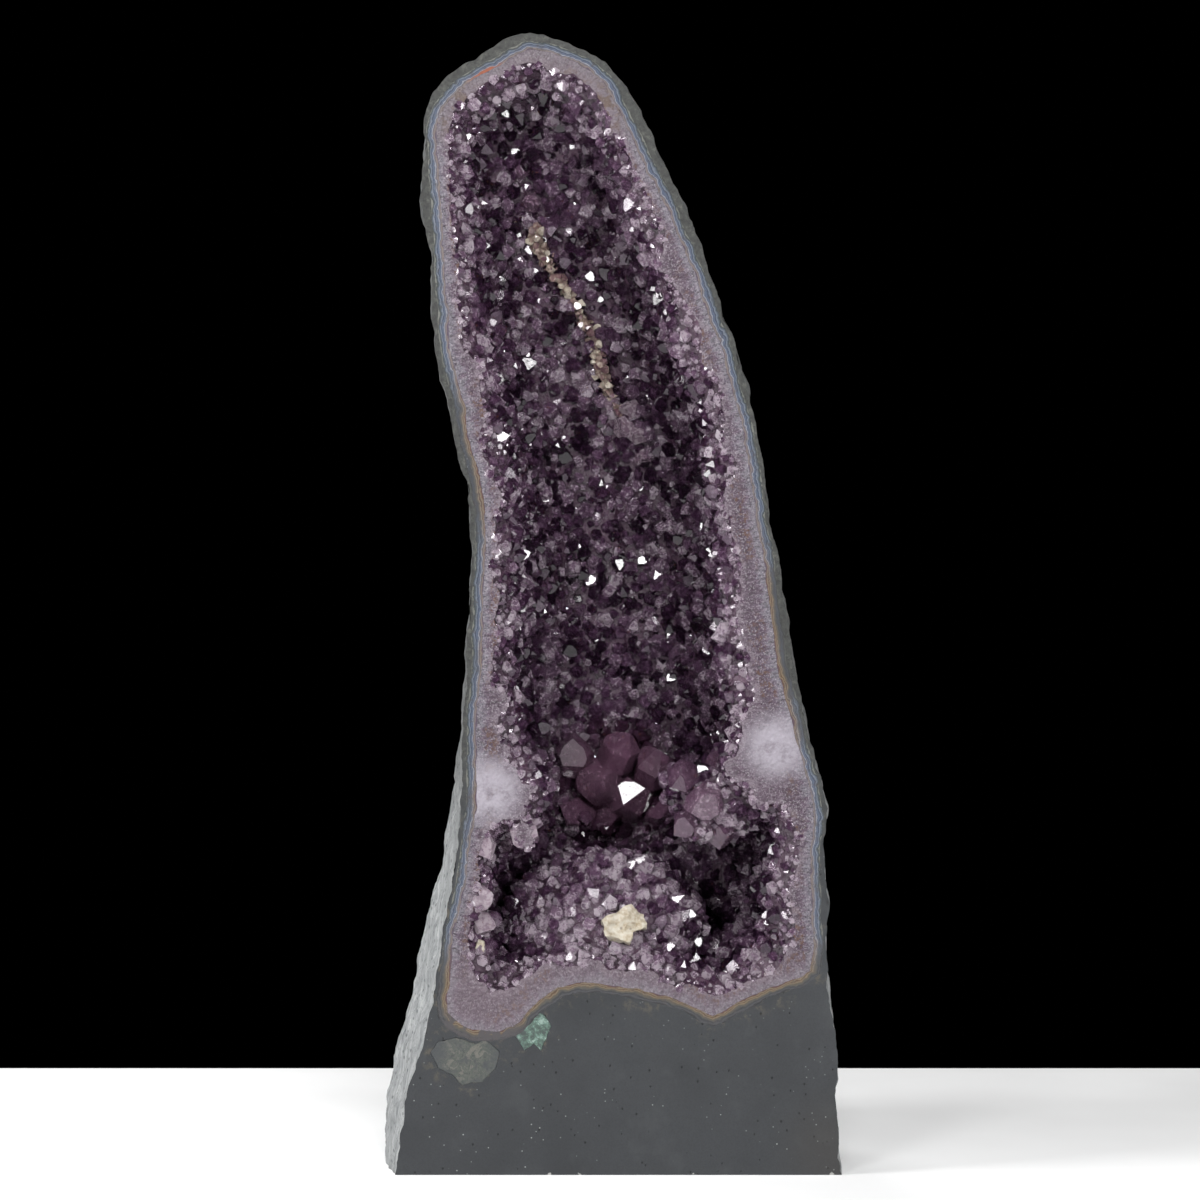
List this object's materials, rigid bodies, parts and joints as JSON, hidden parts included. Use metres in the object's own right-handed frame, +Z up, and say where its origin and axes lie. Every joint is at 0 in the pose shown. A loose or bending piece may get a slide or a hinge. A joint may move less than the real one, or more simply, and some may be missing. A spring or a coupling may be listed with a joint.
{
  "type": "amethyst geode",
  "caption": "Tall amethyst cathedral geode, sawn flat down the front and across the foot, with a crystal-lined hollow inside a grey rock shell.",
  "frame": {"origin": "centre of the bounding box's base, on the floor under the foot", "axes": "+Z up, along the geode's length; the sawn front faces -Y"},
  "size_m": [0.3678, 0.2624, 0.9],
  "materials": {
    "basalt": "sawn smooth in front and under the foot, rough behind",
    "agate": "polished",
    "amethyst": "glassy crystal faces, polished where sawn",
    "calcite": "dull, grainy",
    "celadonite": "earthy",
    "nodule": "sawn smooth"
  },
  "bodies": {
    "root": {"basalt_shell": "basalt", "agate_band": "agate", "amethyst_lining": "amethyst", "calcite_plate": "calcite", "calcite_chip": "calcite", "calcite_seam": "calcite", "celadonite_patch": "celadonite", "agate_nodule": "nodule"}
  },
  "joints": []
}
